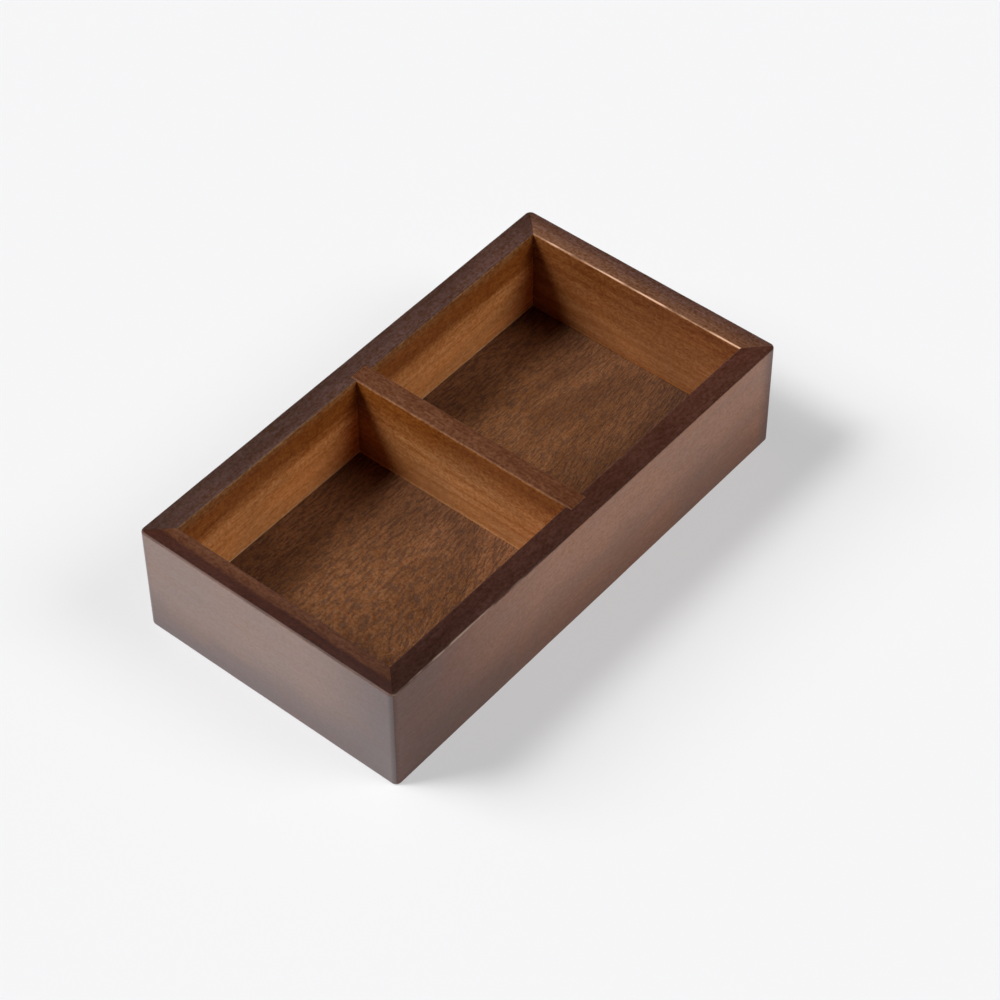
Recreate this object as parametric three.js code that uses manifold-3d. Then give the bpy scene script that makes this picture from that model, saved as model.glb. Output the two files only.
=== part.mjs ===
// Divided snack tray of stained hardwood: four boards mitred into a frame, a bottom panel that
// floats in a groove, and one divider let into the two long sides. Each mitre is held by a loose
// tongue that stops short of the rim. Millimetres, +Z up, +X along the tray; the origin is at the
// middle of the foot, on the table.

import * as THREE from 'three';
import { mergeVertices } from 'three/addons/utils/BufferGeometryUtils.js';
import Module from 'manifold-3d';

// The whole tray
const TRAY_LENGTH = 220;
const TRAY_WIDTH = 120;
const TRAY_HEIGHT = 50;

// The four boards of the frame
const BOARD_THICKNESS = 10;
const CORNER_RADIUS = 2.5; // upright outer corners, seen from above
const OUTER_ARRIS_RADIUS = 0.8; // outer edges of the rim and the foot
const INNER_ARRIS_RADIUS = 0.8; // inner edges of the rim and the foot

// The bottom panel and the groove round the inside of the frame
const FLOOR_HEIGHT = 11; // upper face of the panel, above the table
const PANEL_THICKNESS = 5;
const PANEL_ARRIS_RADIUS = 0.4;
const GROOVE_DEPTH = 4.5;
const PANEL_PLAY = 0.5; // room on each edge for the wood to swell

// The divider and the two housings that take its ends
const DIVIDER_THICKNESS = 8.5;
const DIVIDER_PLACE_SHARE = 0.5; // its middle, along the inside from the left end
const DIVIDER_ARRIS_RADIUS = 0.5;
const HOUSING_DEPTH = 3;

// The loose tongues across the mitres
const TONGUE_THICKNESS = 3;
const TONGUE_WIDTH = 8; // half in each board
const TONGUE_FACE_COVER = 2; // wood left between a slot and the outer faces
const TONGUE_RIM_COVER = 8; // wood left above a slot
const TONGUE_FLOOR_COVER = 3; // wood left between the panel and a slot

// Fits and cutting
const JOINT_GAP = 0.25; // between a piece and what houses it, and across each mitre
const OVERRUN = 2; // how far a cutter runs past the wood
const ARRIS_STEPS = 4;
const CORNER_STEPS = 8;
const SLOT_STEPS = 8;

// Sizes that follow from these
const INNER_LENGTH = TRAY_LENGTH - 2 * BOARD_THICKNESS;
const INNER_WIDTH = TRAY_WIDTH - 2 * BOARD_THICKNESS;
const GROOVE_FOOT = FLOOR_HEIGHT - PANEL_THICKNESS;
const GROOVE_TOP = FLOOR_HEIGHT + JOINT_GAP;
const DIVIDER_PLACE = (DIVIDER_PLACE_SHARE - 0.5) * INNER_LENGTH;
const DIVIDER_LENGTH = INNER_WIDTH + 2 * (HOUSING_DEPTH - JOINT_GAP);
const TONGUE_FOOT = FLOOR_HEIGHT + TONGUE_FLOOR_COVER;
const TONGUE_LENGTH = TRAY_HEIGHT - TONGUE_RIM_COVER - TONGUE_FOOT;
const TONGUE_INSET = TONGUE_FACE_COVER + (TONGUE_WIDTH + TONGUE_THICKNESS) / 2 * Math.SQRT1_2;

const RIGHT_ANGLE = Math.PI / 2;
const MITRE_ANGLE = Math.PI / 4;

const finishes = {
  frame: new THREE.MeshStandardMaterial({ color: 0x4b2b20, roughness: 0.42, metalness: 0 }),
  panel: new THREE.MeshStandardMaterial({ color: 0x6a452c, roughness: 0.5, metalness: 0 }),
  divider: new THREE.MeshStandardMaterial({ color: 0x7d4c2b, roughness: 0.45, metalness: 0 }),
  tongue: new THREE.MeshStandardMaterial({ color: 0xb98d5f, roughness: 0.7, metalness: 0 }),
};

const wasm = await Module();
wasm.setup();

// A closed geometry as a solid that can be joined and cut.
function toSolid(geometry) {
  const bare = geometry.index ? geometry.toNonIndexed() : geometry.clone();
  bare.deleteAttribute('normal');
  bare.deleteAttribute('uv');
  const merged = mergeVertices(bare);
  return new wasm.Manifold(new wasm.Mesh({
    numProp: 3,
    vertProperties: new Float32Array(merged.attributes.position.array),
    triVerts: new Uint32Array(merged.index.array),
  }));
}

// A solid as a geometry with a normal for each facet.
function toGeometry(solid) {
  const { vertProperties, triVerts } = solid.getMesh();
  const indexed = new THREE.BufferGeometry();
  indexed.setAttribute('position', new THREE.BufferAttribute(new Float32Array(vertProperties), 3));
  indexed.setIndex(new THREE.BufferAttribute(new Uint32Array(triVerts), 1));
  const faceted = indexed.toNonIndexed();
  faceted.computeVertexNormals();
  return faceted;
}

// A box from its lowest and highest corners.
function block(low, high) {
  const size = high.clone().sub(low);
  const middle = low.clone().add(high).multiplyScalar(0.5);
  return toSolid(new THREE.BoxGeometry(size.x, size.y, size.z).translate(middle.x, middle.y, middle.z));
}

// A rectangle with rounded corners, centred on X, from nearY to farY.
function roundedRectangle(length, nearY, farY, radius) {
  const end = length / 2;
  const shape = new THREE.Shape();
  shape.moveTo(-end + radius, nearY);
  shape.lineTo(end - radius, nearY);
  shape.absarc(end - radius, nearY + radius, radius, -RIGHT_ANGLE, 0, false);
  shape.lineTo(end, farY - radius);
  shape.absarc(end - radius, farY - radius, radius, 0, RIGHT_ANGLE, false);
  shape.lineTo(-end + radius, farY);
  shape.absarc(-end + radius, farY - radius, radius, RIGHT_ANGLE, 2 * RIGHT_ANGLE, false);
  shape.lineTo(-end, nearY + radius);
  shape.absarc(-end + radius, nearY + radius, radius, 2 * RIGHT_ANGLE, 3 * RIGHT_ANGLE, false);
  return shape;
}

// A rectangle centred on the origin.
function rectangle(length, width) {
  const shape = new THREE.Shape();
  shape.moveTo(-length / 2, -width / 2);
  shape.lineTo(length / 2, -width / 2);
  shape.lineTo(length / 2, width / 2);
  shape.lineTo(-length / 2, width / 2);
  return shape;
}

// An outline drawn up from foot to top, with both its upper and lower edges rounded.
function easedExtrusion(shape, foot, top, radius, curveSegments) {
  const geometry = new THREE.ExtrudeGeometry(shape, {
    depth: top - foot - 2 * radius,
    bevelEnabled: true,
    bevelThickness: radius,
    bevelSize: radius,
    bevelOffset: -radius,
    bevelSegments: ARRIS_STEPS,
    curveSegments,
  });
  return geometry.translate(0, 0, foot + radius);
}

// The section of a frame board: x runs inwards from the outer face and y runs up. The inner
// arrises are rounded, and the groove for the bottom panel is open to the inside.
function boardSection() {
  const inner = BOARD_THICKNESS;
  const radius = INNER_ARRIS_RADIUS;
  const shape = new THREE.Shape();
  shape.moveTo(0, 0);
  shape.lineTo(inner - radius, 0);
  shape.absarc(inner - radius, radius, radius, -RIGHT_ANGLE, 0, false);
  shape.lineTo(inner, GROOVE_FOOT);
  shape.lineTo(inner - GROOVE_DEPTH, GROOVE_FOOT);
  shape.lineTo(inner - GROOVE_DEPTH, GROOVE_TOP);
  shape.lineTo(inner, GROOVE_TOP);
  shape.lineTo(inner, TRAY_HEIGHT - radius);
  shape.absarc(inner - radius, TRAY_HEIGHT - radius, radius, 0, RIGHT_ANGLE, false);
  shape.lineTo(0, TRAY_HEIGHT);
  return shape;
}

// The space between the two mitres of a board, from outside its outer face to inside its inner
// face. Each mitre stands back by half the joint's gap.
function betweenMitres(length) {
  const setBack = JOINT_GAP * Math.SQRT1_2;
  const halfAt = (depth) => length / 2 - setBack - depth;
  const near = -OVERRUN;
  const far = BOARD_THICKNESS + OVERRUN;
  const shape = new THREE.Shape();
  shape.moveTo(-halfAt(near), near);
  shape.lineTo(halfAt(near), near);
  shape.lineTo(halfAt(far), far);
  shape.lineTo(-halfAt(far), far);
  const geometry = new THREE.ExtrudeGeometry(shape, {
    depth: TRAY_HEIGHT + 2 * OVERRUN,
    bevelEnabled: false,
  });
  return toSolid(geometry.translate(0, 0, -OVERRUN));
}

// A loose tongue, or with a clearance its slot: a plate with round ends that stands along Z,
// with its width along X and its middle at the origin.
function tongueGeometry(clearance) {
  const radius = TONGUE_THICKNESS / 2 + clearance;
  const straight = TONGUE_LENGTH / 2 - TONGUE_THICKNESS / 2;
  const width = TONGUE_WIDTH + 2 * clearance;
  const shape = new THREE.Shape();
  shape.moveTo(radius, -straight);
  shape.lineTo(radius, straight);
  shape.absarc(0, straight, radius, 0, 2 * RIGHT_ANGLE, false);
  shape.lineTo(-radius, -straight);
  shape.absarc(0, -straight, radius, 2 * RIGHT_ANGLE, 4 * RIGHT_ANGLE, false);
  const geometry = new THREE.ExtrudeGeometry(shape, {
    depth: width,
    bevelEnabled: false,
    curveSegments: SLOT_STEPS,
  });
  return geometry.translate(0, 0, -width / 2).rotateX(RIGHT_ANGLE).rotateZ(RIGHT_ANGLE);
}

// One board of the frame, with its length along X, its outer face at y = 0, its inner face at
// +y and its foot at z = 0. span is the tray's size across the board's length, and housings
// are the places along the board where it takes a divider.
function frameBoard(length, span, housings) {
  const swept = new THREE.ExtrudeGeometry(boardSection(), {
    depth: length,
    bevelEnabled: false,
    curveSegments: ARRIS_STEPS,
  });
  swept.translate(0, 0, -length / 2).rotateY(RIGHT_ANGLE).rotateX(RIGHT_ANGLE);
  const corners = roundedRectangle(length, 0, span, CORNER_RADIUS);
  const outside = easedExtrusion(corners, 0, TRAY_HEIGHT, OUTER_ARRIS_RADIUS, CORNER_STEPS);
  let board = toSolid(swept).intersect(betweenMitres(length)).intersect(toSolid(outside));

  for (const place of housings) {
    const reach = DIVIDER_THICKNESS / 2 + JOINT_GAP;
    board = board.subtract(block(
      new THREE.Vector3(place - reach, BOARD_THICKNESS - HOUSING_DEPTH, FLOOR_HEIGHT),
      new THREE.Vector3(place + reach, BOARD_THICKNESS + OVERRUN, TRAY_HEIGHT + OVERRUN),
    ));
  }

  for (const side of [-1, 1]) {
    const slot = tongueGeometry(JOINT_GAP).rotateZ(side * MITRE_ANGLE).translate(
      side * (length / 2 - TONGUE_INSET),
      TONGUE_INSET,
      TONGUE_FOOT + TONGUE_LENGTH / 2,
    );
    board = board.subtract(toSolid(slot));
  }
  return toGeometry(board);
}

// The bottom panel, with its middle over the origin and its lower face at z = 0.
function bottomPanelGeometry() {
  const reach = 2 * (GROOVE_DEPTH - PANEL_PLAY);
  const outline = rectangle(INNER_LENGTH + reach, INNER_WIDTH + reach);
  return easedExtrusion(outline, 0, PANEL_THICKNESS, PANEL_ARRIS_RADIUS, CORNER_STEPS);
}

// The divider, with its length along Y and its foot at z = 0. Its upper arrises are rounded and
// its foot is left square, to sit tight on the panel.
function dividerGeometry() {
  const height = TRAY_HEIGHT - FLOOR_HEIGHT;
  const outline = rectangle(DIVIDER_THICKNESS, DIVIDER_LENGTH);
  const eased = easedExtrusion(outline, -OVERRUN, height, DIVIDER_ARRIS_RADIUS, CORNER_STEPS);
  const reach = new THREE.Vector3(DIVIDER_THICKNESS + OVERRUN, DIVIDER_LENGTH + OVERRUN, OVERRUN);
  const below = block(reach.clone().negate().setZ(-2 * OVERRUN), reach.clone().setZ(0));
  return toGeometry(toSolid(eased).subtract(below));
}

const tray = new THREE.Group();

// Adds one named piece at its place, turned about Z.
function addPiece(name, geometry, finish, place, turn = 0) {
  const mesh = new THREE.Mesh(geometry, finish.clone());
  mesh.name = name;
  mesh.position.copy(place);
  mesh.rotation.z = turn;
  tray.add(mesh);
}

// The frame. A board is turned so that its outer face looks out of the tray.
const boards = [
  { name: 'front_side', length: TRAY_LENGTH, span: TRAY_WIDTH, quarter: 0, housings: [DIVIDER_PLACE] },
  { name: 'right_end', length: TRAY_WIDTH, span: TRAY_LENGTH, quarter: 1, housings: [] },
  { name: 'back_side', length: TRAY_LENGTH, span: TRAY_WIDTH, quarter: 2, housings: [-DIVIDER_PLACE] },
  { name: 'left_end', length: TRAY_WIDTH, span: TRAY_LENGTH, quarter: 3, housings: [] },
];
for (const { name, length, span, quarter, housings } of boards) {
  const turn = quarter * RIGHT_ANGLE;
  const place = new THREE.Vector3(Math.sin(turn), -Math.cos(turn), 0).multiplyScalar(span / 2);
  addPiece(name, frameBoard(length, span, housings), finishes.frame, place, turn);
}

addPiece('bottom_panel', bottomPanelGeometry(), finishes.panel, new THREE.Vector3(0, 0, GROOVE_FOOT));
addPiece('divider', dividerGeometry(), finishes.divider, new THREE.Vector3(DIVIDER_PLACE, 0, FLOOR_HEIGHT));

// The tongues, one across each mitre.
const corners = [
  { name: 'front_left', x: -1, y: -1 },
  { name: 'front_right', x: 1, y: -1 },
  { name: 'back_right', x: 1, y: 1 },
  { name: 'back_left', x: -1, y: 1 },
];
for (const { name, x, y } of corners) {
  const place = new THREE.Vector3(
    x * (TRAY_LENGTH / 2 - TONGUE_INSET),
    y * (TRAY_WIDTH / 2 - TONGUE_INSET),
    TONGUE_FOOT + TONGUE_LENGTH / 2,
  );
  addPiece(`corner_tongue_${name}`, tongueGeometry(0), finishes.tongue, place, -x * y * MITRE_ANGLE);
}

export default tray;
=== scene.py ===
"""Divided snack tray: fine surfaces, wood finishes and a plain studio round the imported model.

Four stained hardwood boards are mitred into a frame. A divider is let into the two long boards,
and an open-pored walnut panel floats in a groove. Metres, +Z up, +X along the tray.
"""
import logging
import math
from dataclasses import dataclass
from enum import Enum
from typing import Any, ClassVar

import bmesh
import bpy
import numpy as np
from mathutils import Euler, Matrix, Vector


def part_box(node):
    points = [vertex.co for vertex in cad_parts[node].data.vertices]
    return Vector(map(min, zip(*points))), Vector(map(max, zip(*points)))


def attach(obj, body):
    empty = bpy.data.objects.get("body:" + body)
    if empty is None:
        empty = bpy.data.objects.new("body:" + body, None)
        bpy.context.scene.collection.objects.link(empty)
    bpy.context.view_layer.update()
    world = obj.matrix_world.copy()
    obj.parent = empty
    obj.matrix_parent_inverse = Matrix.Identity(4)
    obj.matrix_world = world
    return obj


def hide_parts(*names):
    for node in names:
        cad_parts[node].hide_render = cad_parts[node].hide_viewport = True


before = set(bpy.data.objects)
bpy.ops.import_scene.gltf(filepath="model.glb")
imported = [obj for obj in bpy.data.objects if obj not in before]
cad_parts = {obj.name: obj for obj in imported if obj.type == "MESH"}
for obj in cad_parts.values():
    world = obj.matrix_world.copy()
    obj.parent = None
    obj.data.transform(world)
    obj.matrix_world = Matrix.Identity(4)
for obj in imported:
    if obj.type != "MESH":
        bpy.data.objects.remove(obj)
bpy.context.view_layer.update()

LOG = logging.getLogger("tray")
MM = 0.001
QUARTER = math.pi / 2

Pair = tuple[float, float]
Point = tuple[float, float, float]
Colour = tuple[float, float, float, float]

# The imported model's own sizes
FRONT_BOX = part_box("front_side")
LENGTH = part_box("right_end")[1].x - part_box("left_end")[0].x
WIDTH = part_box("back_side")[1].y - FRONT_BOX[0].y
HEIGHT = FRONT_BOX[1].z
BOARD = FRONT_BOX[1].y - FRONT_BOX[0].y
PANEL_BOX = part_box("bottom_panel")
DIVIDER_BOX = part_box("divider")
FLOOR = PANEL_BOX[1].z

# How a mesh is welded and shaded
WELD = 0.0005 * MM
SHARP_ANGLE = math.radians(32)

# The mesh attribute that says how far a point belongs to the rim, to the inside and to an arris
ZONE = "zone"

# Settings that several nodes share
SMOOTH = {"interpolation_type": "SMOOTHSTEP"}
BLEND = {"out": 2, "data_type": "RGBA"}
MULTIPLY = {**BLEND, "blend_type": "MULTIPLY"}


def linear(code: str) -> Colour:
    """Turns an sRGB hex colour into a linear one.

    Args:
        code: Six hex digits.

    Returns:
        Red, green, blue and an alpha of 1, in linear light.
    """
    parts = np.array([int(code[i:i + 2], 16) for i in (0, 2, 4)]) / 255
    light = np.where(parts <= 0.04045, parts / 12.92, ((parts + 0.055) / 1.055) ** 2.4)
    return (*light.tolist(), 1.0)


def tint(amount: float) -> Colour:
    """A multiplier that pales or deepens brown: blue moves most and red least.

    Args:
        amount: Share by which green moves, negative to deepen.

    Returns:
        The multiplier for each channel, and an alpha of 1.
    """
    return (1 + 0.6 * amount, 1 + amount, 1 + 1.7 * amount, 1.0)


class Side(Enum):
    """The boards of the frame: node name, and quarter turns from the front."""

    FRONT = ("front_side", 0)
    RIGHT = ("right_end", 1)
    BACK = ("back_side", 2)
    LEFT = ("left_end", 3)

    @property
    def node(self) -> str:
        """The board's node name."""
        return self.value[0]

    @property
    def quarter(self) -> int:
        """How many quarter turns the board stands from the front."""
        return self.value[1]

    @property
    def turn(self) -> float:
        """The board's turn about Z, in radians."""
        return self.quarter * QUARTER

    @property
    def is_long(self) -> bool:
        """True for the two boards that run along the tray."""
        return self.quarter % 2 == 0

    @property
    def length(self) -> float:
        """The board's own length."""
        return LENGTH if self.is_long else WIDTH

    @property
    def span(self) -> float:
        """The tray's size across this board."""
        return WIDTH if self.is_long else LENGTH


class WornGlintEdge(Enum):
    """Which upper arris of a board is rubbed pale and carries a painted highlight."""

    OUTER = "outer"
    INNER = "inner"


@dataclass(frozen=True)
class Pattern:
    """A noise drawn out along the grain.

    Attributes:
        size_mm: Size of its features along X, Y and Z, in millimetres.
        detail: Octaves of finer pattern.
        warp: How far it wanders, in its own size.
        shift: Added to the piece's seed, so that no two patterns are alike.
        low: Lower end of the values over which it fades in or out.
        high: Upper end of those values.
    """

    size_mm: Point
    detail: float
    warp: float
    shift: float
    low: float = 0.3
    high: float = 0.7


class NodeTree:
    """The cleared node tree of a material or world, and the one way to add a node to it.

    Sockets go by number where their names repeat. Map Range has its value at 0, the range this
    comes from at 1 and 2, and the range it goes to at 3 and 4. Mix has its factor at 0, numbers
    at 2 and 3, vectors at 4 and 5, and colours at 6 and 7.
    """

    def __init__(self, owner: bpy.types.ID) -> None:
        """Clears the owner's tree.

        Args:
            owner: The material or world.
        """
        owner.use_nodes = True
        self.owner = owner
        self.tree = owner.node_tree
        self.tree.nodes.clear()

    def add(self, kind: str, inputs: dict[Any, Any] | None = None, out: Any = 0, **settings: Any) -> Any:
        """Adds a node with its settings, values and links.

        Args:
            kind: The node's type, without the leading ShaderNode.
            inputs: Sockets by name or index, each with a value or with the socket that feeds it.
            out: Name or index of the output wanted.
            **settings: Properties of the node.

        Returns:
            The output socket, or None for a node that has none.
        """
        node = self.tree.nodes.new("ShaderNode" + kind)
        for name, value in settings.items():
            setattr(node, name, value)
        for name, value in (inputs or {}).items():
            if isinstance(value, bpy.types.NodeSocket):
                self.tree.links.new(value, node.inputs[name])
            else:
                node.inputs[name].default_value = value
        return node.outputs[out] if node.outputs else None

    def wood(self, place: Any, pattern: Pattern, seed: float) -> Any:
        """Draws a wood pattern.

        Args:
            place: The point in the piece's own frame, grain along X.
            pattern: The pattern.
            seed: The piece's seed, so that no two pieces are alike.

        Returns:
            A value from 0 to 1, mostly from 0.3 to 0.7.
        """
        scale = tuple(1 / (size * MM) for size in pattern.size_mm)
        moved = seed + pattern.shift
        start = (moved, 2 * moved, 3 * moved)
        drawn = self.add("Mapping", {"Vector": place, "Scale": scale, "Location": start})
        noise = {"Vector": drawn, "Scale": 1.0, "Detail": pattern.detail, "Distortion": pattern.warp}
        return self.add("TexNoise", noise)


@dataclass
class Spot:
    """The sockets that say where on a board a point lies, and which fine pattern is there.

    `place` is the point in the board's own frame, `along` its distance from the board's middle
    and `rise` its height. `top` is 1 on the rim, `arris` is 1 on the crest of an upper arris, and
    `inside` goes from 0 on the outer face, across the rim, to 1 on the inner face.
    """

    place: Any
    along: Any
    rise: Any
    top: Any
    inside: Any
    arris: Any
    cloud: Any
    fibre: Any
    pore: Any


@dataclass(frozen=True)
class StainedHardwood:
    """Close-grained hardwood, planed, spray-stained walnut and lacquered satin.

    To the eye: the stain is dense on the rim and thin inside, so the rim reads dark and the
    inside orange. It lies in soft clouds. An outer face deepens toward its foot and greys toward
    its ends, and sanding has rubbed an arris pale, where a highlight is painted as well. Straight
    streaks 3 mm wide run along it all.

    Attributes:
        name: The material's name.
        outer: The outer face, high up.
        outer_foot: The outer face at its foot.
        outer_edge: The outer face at its ends.
        rim_outer: The outer half of the rim.
        rim_inner: The inner half of the rim.
        inner_high: The inner face where it is sprayed.
        inner_low: The inner face below that.
        worn_glint: An arris rubbed through the stain, with a painted highlight on it.
        worn_glint_share: How far it is rubbed and painted pale, at most.
        worn_glint_edge: Which arris is rubbed and carries the painted highlight.
        seed: Moves the patterns.
        haze: Thin spray on the inner face under the rim.
        haze_reach: How far down the haze comes.
        foot: The pale line where the inner face meets the panel.
        rim_blur: Half the width of the rim's change of tone, as a share of the rim.
        rim_edge: How far up an arris the rim's tone takes over, as a share of it.
        rim_fall: How much darker the rim gets toward the board's right end.
        streaks: Strength of the streaks.
        worn_glint_from: Where along the board the wear and painted highlight start.
        worn_glint_to: Where along the board they are full.
        foot_fade: Height of the outer face's change of tone.
        fade_start: How far the grey reaches in from the left end.
        fade_end: How far it reaches in from the right end.
        stain_line: Height of the sprayed stain's lower border.
        stain_blur: Half the width of that border.
        coat: Strength of the lacquer's own gloss.
        gloss: Strength of the gloss under it.
    """

    name: str
    outer: str
    outer_foot: str
    outer_edge: str
    rim_outer: str
    rim_inner: str
    inner_high: str
    inner_low: str
    worn_glint: str
    worn_glint_share: float
    worn_glint_edge: WornGlintEdge
    seed: float
    haze: str = "9a683b"
    haze_reach: float = 1.2 * MM
    foot: str = "a0642f"
    rim_blur: float = 0.09
    rim_edge: float = 0.3
    rim_fall: float = 0.0
    streaks: float = 0.2
    worn_glint_from: float = -1.0
    worn_glint_to: float = -0.9
    foot_fade: float = 28 * MM
    fade_start: float = 20 * MM
    fade_end: float = 20 * MM
    stain_line: float = 35 * MM
    stain_blur: float = 4 * MM
    coat: float = 0.3
    gloss: float = 0.4

    # Fibres, pores and specks are drawn coarser than real, 0.4 to 0.9 mm wide, so that they show
    CLOUDS: ClassVar[Pattern] = Pattern((34, 15, 15), 2.0, 0.8, 0)
    STREAKS: ClassVar[Pattern] = Pattern((80, 2.8, 2.8), 3.0, 0.5, 4)
    FIBRES: ClassVar[Pattern] = Pattern((6, 0.45, 0.45), 2.0, 0.2, 8)
    PORES: ClassVar[Pattern] = Pattern((2.6, 0.4, 0.4), 1.0, 0.0, 12, 0.60, 0.72)
    SPECKS: ClassVar[Pattern] = Pattern((1.3, 0.9, 0.9), 2.0, 0.0, 16, 0.56, 0.94)
    RUBBED_GLINT: ClassVar[Pattern] = Pattern((12, 4, 4), 2.0, 0.0, 20, 0.38, 0.60)

    # How far clouds move a border: the sprayed stain's, the outer face's as a share of its height
    # and the rim's as a share of the rim
    STAIN_WANDER: ClassVar[float] = 8 * MM
    FOOT_WANDER: ClassVar[float] = 0.5
    RIM_WANDER: ClassVar[float] = 0.3
    # The pale line at the foot of the inner face
    FOOT_LINE: ClassVar[float] = 0.8 * MM
    # Half the width of the change from a face's tone to the rim's, as a share of the arris
    CREST_BLUR: ClassVar[float] = 0.25
    # The clouds' darkest and palest multipliers, and their strength
    CLOUD_DARK: ClassVar[Colour] = (0.72, 0.78, 0.86, 1)
    CLOUD_PALE: ClassVar[Colour] = (1.32, 1.25, 1.16, 1)
    CLOUD_WEIGHT: ClassVar[float] = 0.8
    # Strength of the streaks and of the grain on an outer face
    STREAKS_OUTSIDE: ClassVar[float] = 0.3
    GRAIN_OUTSIDE: ClassVar[float] = 0.35
    # Strength of the grain low inside and at the rim, and where it starts to rise
    GRAIN_LOW: ClassVar[float] = 0.45
    GRAIN_HIGH: ClassVar[float] = 1.0
    GRAIN_RISE: ClassVar[float] = 20 * MM
    # How far the grain and the pores move the tone
    GRAIN_TINT: ClassVar[float] = 0.5
    PORE_TINT: ClassVar[float] = -0.22
    # Wear and painted highlight: how narrow they are on the arris, and the least of them between the patches
    WEAR_GLINT_POWER: ClassVar[float] = 2.4
    WEAR_GLINT_LEAST: ClassVar[float] = 0.1
    # The lacquer's roughness, and how much duller it is on a sanded arris
    ROUGH: ClassVar[Pair] = (0.42, 0.54)
    ARRIS_ROUGH: ClassVar[float] = 0.4
    ARRIS_DULL: ClassVar[float] = 0.5
    DULL_COAT: ClassVar[float] = 0.25
    # A pore's height, against a fibre's
    PORE_DEPTH: ClassVar[float] = -0.8

    def outer_tone(self, shade: NodeTree, spot: Spot, half: float) -> Any:
        """The outer face: deeper toward the foot, then greyer toward the ends.

        Args:
            shade: The material's tree.
            spot: Where the point lies.
            half: Half the board's length.

        Returns:
            The colour.
        """
        add = shade.add
        wander = self.FOOT_WANDER * self.foot_fade
        low = add("Math", {0: spot.cloud, 1: wander, 2: spot.rise}, operation="MULTIPLY_ADD")
        low = add("MapRange", {0: low, 1: self.foot_fade + wander / 2, 2: wander / 2}, **SMOOTH)
        tone = add("Mix", {0: low, 6: linear(self.outer), 7: linear(self.outer_foot)}, **BLEND)
        first = add("MapRange", {0: spot.along, 1: self.fade_start - half, 2: -half}, **SMOOTH)
        last = add("MapRange", {0: spot.along, 1: half - self.fade_end, 2: half}, **SMOOTH)
        faded = add("Math", {0: first, 1: last}, operation="MAXIMUM")
        return add("Mix", {0: faded, 6: tone, 7: linear(self.outer_edge)}, **BLEND)

    def inner_tone(self, shade: NodeTree, spot: Spot) -> Any:
        """The inner face: sprayed in its upper part, hazed under the rim, with a pale line at its foot.

        Args:
            shade: The material's tree.
            spot: Where the point lies.

        Returns:
            The colour.
        """
        add = shade.add
        height = add("Math", {0: spot.cloud, 1: self.STAIN_WANDER, 2: spot.rise}, operation="MULTIPLY_ADD")
        line = self.stain_line + self.STAIN_WANDER / 2
        sprayed = {0: height, 1: line - self.stain_blur, 2: line + self.stain_blur}
        sprayed = add("MapRange", sprayed, **SMOOTH)
        tone = add("Mix", {0: sprayed, 6: linear(self.inner_low), 7: linear(self.inner_high)}, **BLEND)
        height = add("Math", {0: spot.cloud, 1: self.haze_reach, 2: spot.rise}, operation="MULTIPLY_ADD")
        blur = self.haze_reach / 2
        hazed = add("MapRange", {0: height, 1: HEIGHT - blur, 2: HEIGHT + blur}, **SMOOTH)
        tone = add("Mix", {0: hazed, 6: tone, 7: linear(self.haze)}, **BLEND)
        height = add("Math", {0: spot.cloud, 1: -2 * self.FOOT_LINE, 2: spot.rise}, operation="MULTIPLY_ADD")
        foot = add("MapRange", {0: height, 1: FLOOR + self.FOOT_LINE, 2: FLOOR}, **SMOOTH)
        return add("Mix", {0: foot, 6: tone, 7: linear(self.foot)}, **BLEND)

    def rim_tone(self, shade: NodeTree, spot: Spot, half: float) -> Any:
        """The rim: denser along its outer half, and toward one end of the board.

        Args:
            shade: The material's tree.
            spot: Where the point lies.
            half: Half the board's length.

        Returns:
            The colour.
        """
        add = shade.add
        depth = add("Math", {0: spot.cloud, 1: self.RIM_WANDER, 2: spot.inside}, operation="MULTIPLY_ADD")
        line = 0.5 + self.RIM_WANDER / 2
        depth = add("MapRange", {0: depth, 1: line - self.rim_blur, 2: line + self.rim_blur}, **SMOOTH)
        tone = add("Mix", {0: depth, 6: linear(self.rim_outer), 7: linear(self.rim_inner)}, **BLEND)
        ends = {0: spot.along, 1: -half, 2: half, 3: 1 + self.rim_fall, 4: 1 - self.rim_fall}
        return add("Mix", {0: 1.0, 6: tone, 7: add("MapRange", ends)}, **MULTIPLY)

    def figure(self, shade: NodeTree, spot: Spot, tone: Any) -> Any:
        """Lays streaks, clouds, grain and pores over a tone: least outside, most on the rim.

        Args:
            shade: The material's tree.
            spot: Where the point lies.
            tone: The plain stain.

        Returns:
            The colour.
        """
        add = shade.add
        shown = add("Math", {0: spot.inside, 1: spot.top}, operation="MAXIMUM")

        streak = shade.wood(spot.place, self.STREAKS, self.seed)
        weight = add("MapRange", {0: shown, 1: 0.0, 2: 1.0, 3: self.STREAKS_OUTSIDE, 4: 1.0})
        bands = add("MapRange", {0: streak, 1: self.STREAKS.low, 2: self.STREAKS.high})
        bands = add("Mix", {0: bands, 6: tint(-self.streaks), 7: tint(self.streaks)}, **BLEND)
        tone = add("Mix", {0: weight, 6: tone, 7: bands}, **MULTIPLY)

        clouds = add("Mix", {0: spot.cloud, 6: self.CLOUD_DARK, 7: self.CLOUD_PALE}, **BLEND)
        tone = add("Mix", {0: self.CLOUD_WEIGHT, 6: tone, 7: clouds}, **MULTIPLY)

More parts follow.
